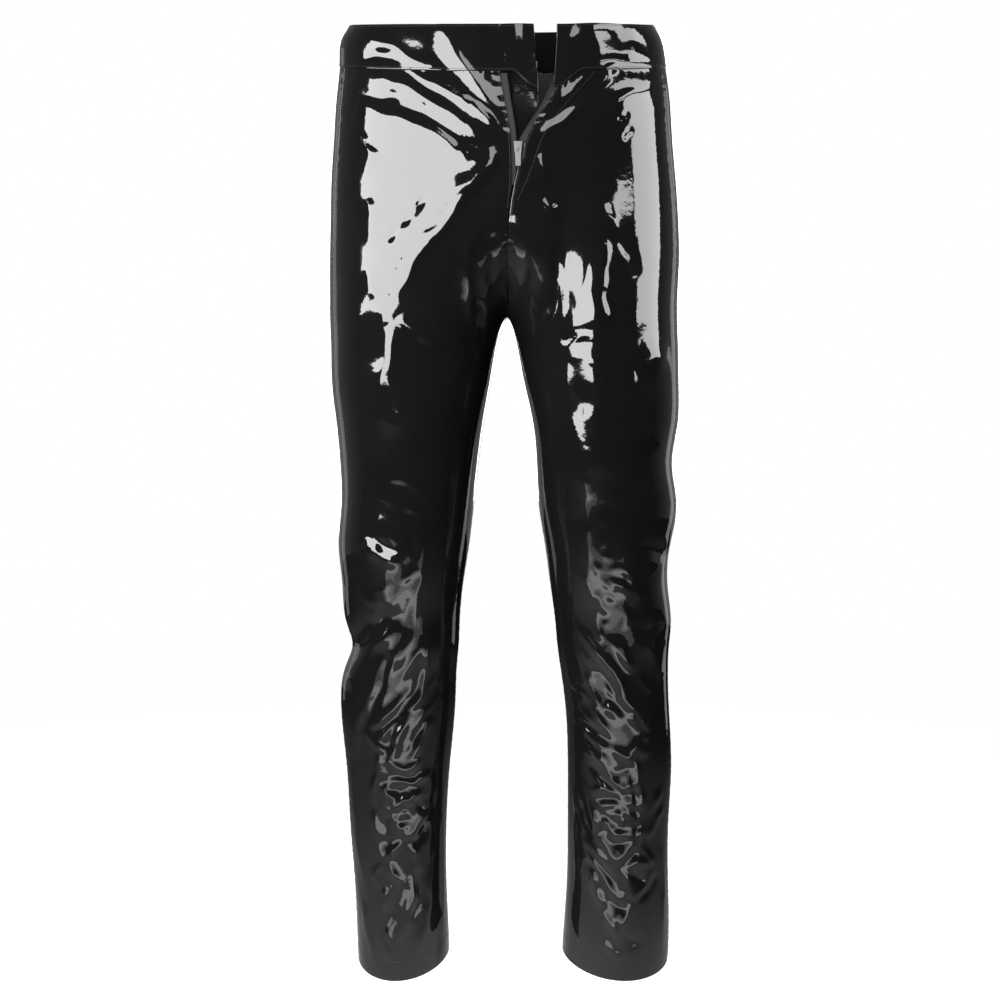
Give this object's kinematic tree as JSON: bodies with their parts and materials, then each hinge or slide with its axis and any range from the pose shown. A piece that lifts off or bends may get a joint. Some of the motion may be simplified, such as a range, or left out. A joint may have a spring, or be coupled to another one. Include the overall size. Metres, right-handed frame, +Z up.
{
  "type": "trousers",
  "caption": "Black high-gloss PVC trousers in worn form, slim legs, plain waistband, fly open in a V with its zip pulled down.",
  "frame": {"origin": "centre of the waist, half way up the waistband at its sides, where the wearer's hips hold it", "axes": "+Z up from the hems to the waist, -Y the front, +X towards the wearer's left side"},
  "size_m": [0.3882, 0.2477, 1.063],
  "materials": {
    "pvc_panels": "high gloss PVC coating, near black",
    "pvc_band": "high gloss PVC coating, near black",
    "pvc_shield": "high gloss PVC coating, near black",
    "zip_tape": "woven polyester tape, matte black",
    "zip_metal": "nickel plated zinc",
    "snap_metal": "dark nickel plated brass"
  },
  "bodies": {
    "trousers": {"front_right": "pvc_panels", "front_left": "pvc_panels", "back_right": "pvc_panels", "back_left": "pvc_panels", "waistband_right": "pvc_band", "waistband_left": "pvc_band", "fly_shield": "pvc_shield", "zip_tape_right": "zip_tape", "zip_tape_left": "zip_tape", "zip_slider": "zip_metal", "fly_snap": "snap_metal"},
    "pull": {"zip_pull": "zip_metal"}
  },
  "joints": [
    {"name": "pull_hinge", "type": "hinge", "parent": "trousers", "child": "pull", "pos_m": [0.01105, -0.10628, -0.12195], "axis": [-0.9996, -0.0292, 0], "range_deg": [0, 170]}
  ]
}
